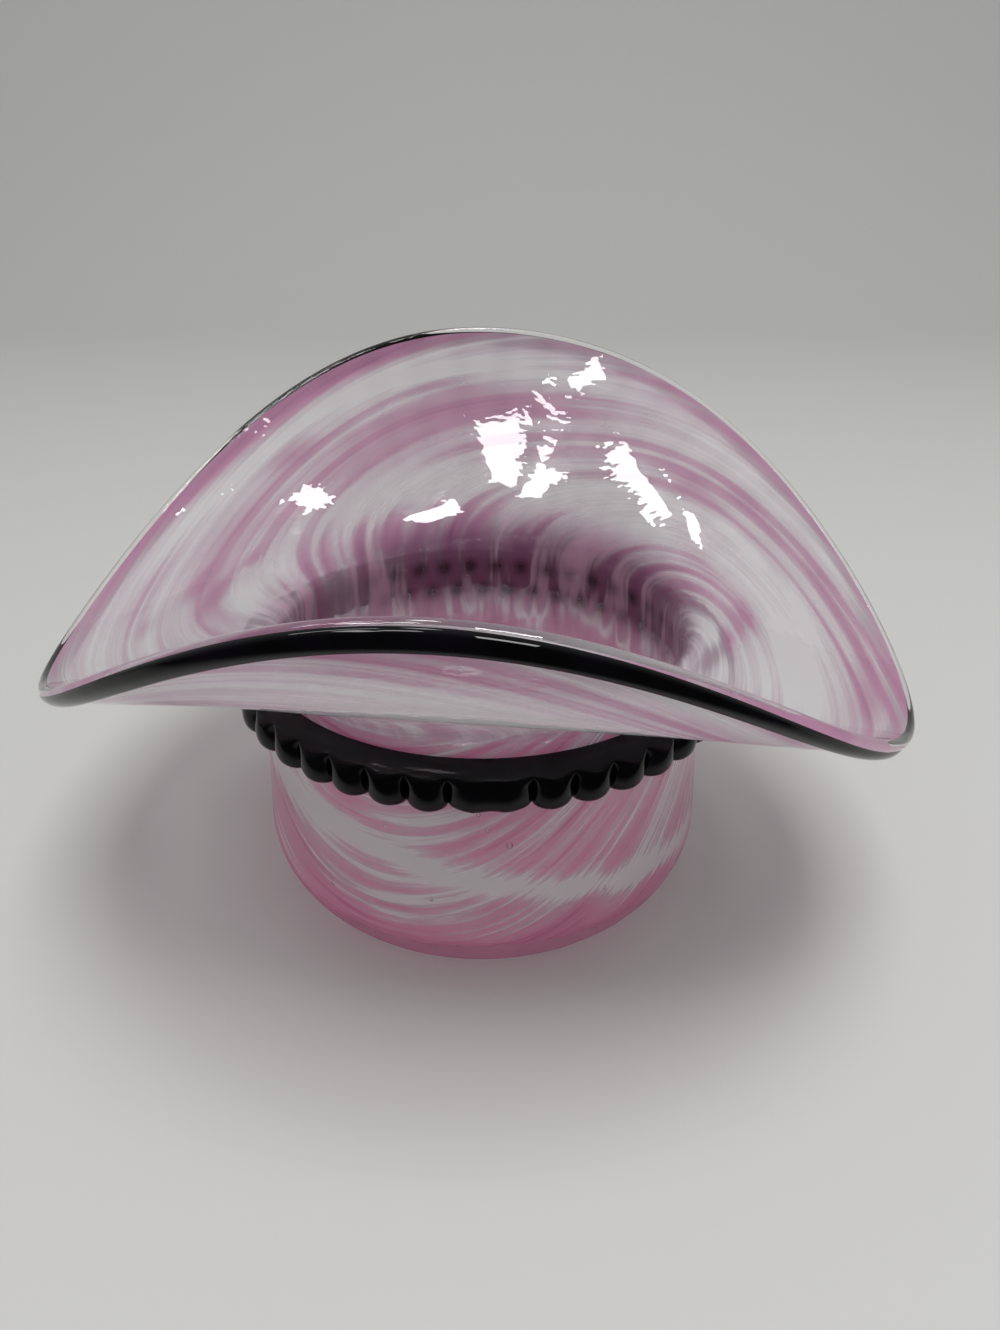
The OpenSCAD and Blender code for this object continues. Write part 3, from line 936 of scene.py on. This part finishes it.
def make_floor():
    """A pale floor that sweeps up behind the hat."""
    turns = np.linspace(0, math.pi / 2, SWEEP_STEPS + 1)
    sweep = [(SWEEP_START + SWEEP_RADIUS * math.sin(a), SWEEP_RADIUS * (1 - math.cos(a))) for a in turns]
    profile = [(FLOOR_FRONT, 0.0)] + sweep + [(SWEEP_START + SWEEP_RADIUS, SWEEP_TOP)]
    points = [(side * FLOOR_SIDE, y, z) for y, z in profile for side in (-1, 1)]
    faces = [(2 * i, 2 * i + 1, 2 * i + 3, 2 * i + 2) for i in range(len(profile) - 1)]
    mesh = bpy.data.meshes.new("floor")
    mesh.from_pydata(points, [], faces)
    mesh.polygons.foreach_set("use_smooth", np.ones(len(faces), bool))
    material, tree = new_material("floor")
    place = tree.nodes.new("ShaderNodeTexCoord").outputs["Object"]
    away = maths(tree, "MULTIPLY", add_node(tree, "ShaderNodeSeparateXYZ", Vector=place).outputs["Y"], -1.0)
    path = tree.nodes.new("ShaderNodeLightPath")
    mirrored = path.outputs["Is Glossy Ray"]
    dim = maths(tree, "MULTIPLY", spread(tree, away, *DIM_DISTANCES), mirrored)
    colour = mix_colours(tree, dim, FLOOR_COLOUR, DIM_COLOUR)
    length = tree.nodes.new("ShaderNodeVectorMath")
    length.operation = "LENGTH"
    tree.links.new(place, length.inputs[0])
    far = spread(tree, length.outputs["Value"], *NEAR_RADII)
    near = maths(tree, "MULTIPLY", maths(tree, "SUBTRACT", 1.0, far), mirrored)
    colour = mix_colours(tree, near, colour, NEAR_COLOUR)
    surface = add_node(tree, "ShaderNodeBsdfDiffuse", Color=colour)
    finish_material(tree, surface.outputs[0])
    mesh.materials.append(material)
    floor = bpy.data.objects.new("floor", mesh)
    bpy.context.scene.collection.objects.link(floor)


LAMP_HEIGHT = 1.1
# Panels overhead: name, place across and along, turn in degrees, width, depth, radiance, and whether mirrored
PANELS = [
    ("ceiling", 0.08, -0.20, 0, 0.50, 0.50, 11.2, False),
    ("front_strip", -0.37, -0.39, 9, 0.24, 0.17, 16, True),
    ("front_panel", -0.69, -0.46, 12, 0.25, 0.38, 16, True),
    ("long_strip", -0.76, 0.01, 6, 0.72, 0.09, 16, True),
    ("right_panel", 0.25, -0.60, 0, 0.40, 0.40, 20, True),
    ("back_panel", -0.16, 0.23, 37, 0.16, 0.18, 16, True),
]


def make_panel(name, x, y, turn, width, depth, radiance, mirrored):
    """A lamp that faces straight down. It lights the scene, or else shows only in polished surfaces."""
    data = bpy.data.lights.new(name, "AREA")
    data.shape = "RECTANGLE"
    data.size = width
    data.size_y = depth
    data.energy = radiance * math.pi * width * depth
    lamp = bpy.data.objects.new(name, data)
    lamp.location = (x, y, LAMP_HEIGHT)
    lamp.rotation_euler = (0, 0, math.radians(turn))
    lamp.visible_glossy = mirrored
    lamp.visible_transmission = mirrored
    lamp.visible_diffuse = not mirrored
    bpy.context.scene.collection.objects.link(lamp)


ROOM_FRONT = 0.05
ROOM_BACK = 0.55
ROOM_LIGHT = 0.52
# The room gets pale towards the back, and this much of that towards the ceiling, between these levels
ROOM_TILT = 0.6
ROOM_LEVELS = (-0.5, 0.9)


def make_world():
    """An even room light. Polished surfaces mirror a room that is dim in front and pale behind."""
    world = bpy.data.worlds.new("room")
    bpy.context.scene.world = world
    world.use_nodes = True
    tree = world.node_tree
    tree.nodes.clear()
    way = tree.nodes.new("ShaderNodeTexCoord").outputs["Generated"]
    axes = add_node(tree, "ShaderNodeSeparateXYZ", Vector=way)
    towards = maths(tree, "MULTIPLY_ADD", axes.outputs["Z"], ROOM_TILT, axes.outputs["Y"])
    share = spread(tree, towards, *ROOM_LEVELS)
    path = tree.nodes.new("ShaderNodeLightPath")
    share = maths(tree, "MAXIMUM", share, path.outputs["Is Camera Ray"])
    level = mix_values(tree, share, ROOM_FRONT, ROOM_BACK)
    level = mix_values(tree, path.outputs["Is Diffuse Ray"], level, ROOM_LIGHT)
    surface = add_node(tree, "ShaderNodeBackground", Color=(1, 1, 1, 1), Strength=level)
    output = tree.nodes.new("ShaderNodeOutputWorld")
    tree.links.new(surface.outputs[0], output.inputs["Surface"])


# The camera, fitted to the photograph: place in millimetres, angles in degrees, and its focal length as a
# share of the image height
CAMERA_PLACE = (0.417, -192.0, 156.58)
CAMERA_PITCH = 29.2
CAMERA_YAW = 1.0
CAMERA_ROLL = 0.3
FOCAL_SHARE = 1000 / 1330
SENSOR_SIDE = 36
CLIP_START = 0.01


def make_camera():
    data = bpy.data.cameras.new("camera")
    data.sensor_width = SENSOR_SIDE
    data.lens = FOCAL_SHARE * SENSOR_SIDE
    data.clip_start = CLIP_START
    camera = bpy.data.objects.new("camera", data)
    pitch, yaw, roll = (math.radians(a) for a in (CAMERA_PITCH, CAMERA_YAW, CAMERA_ROLL))
    forward = Vector((math.sin(yaw) * math.cos(pitch), math.cos(yaw) * math.cos(pitch), -math.sin(pitch)))
    right = Vector((math.cos(yaw), -math.sin(yaw), 0))
    up = right.cross(forward)
    side = right * math.cos(roll) + up * math.sin(roll)
    top = up * math.cos(roll) - right * math.sin(roll)
    turn = Matrix((side, top, -forward)).transposed().to_4x4()
    camera.matrix_world = Matrix.Translation(Vector(CAMERA_PLACE) * MM) @ turn
    bpy.context.scene.collection.objects.link(camera)
    bpy.context.scene.camera = camera


def set_light_paths():
    """Enough bounces for rays that cross several walls of glass, which lets lamp light through by itself."""
    cycles = bpy.context.scene.cycles
    cycles.max_bounces = 24
    cycles.transmission_bounces = 20
    cycles.transparent_max_bounces = 48
    cycles.caustics_refractive = False
    cycles.caustics_reflective = False


glass = clear_glass()
joined = joined_face()
black = black_glass()
make_casing(glass, joined)
make_colour(streaked_glass())
make_bubble(glass, joined)
make_lip_trail(black)
make_neck_band(black)
make_floor()
for panel in PANELS:
    make_panel(*panel)
make_world()
make_camera()
set_light_paths()
bpy.context.scene.view_settings.view_transform = "Standard"
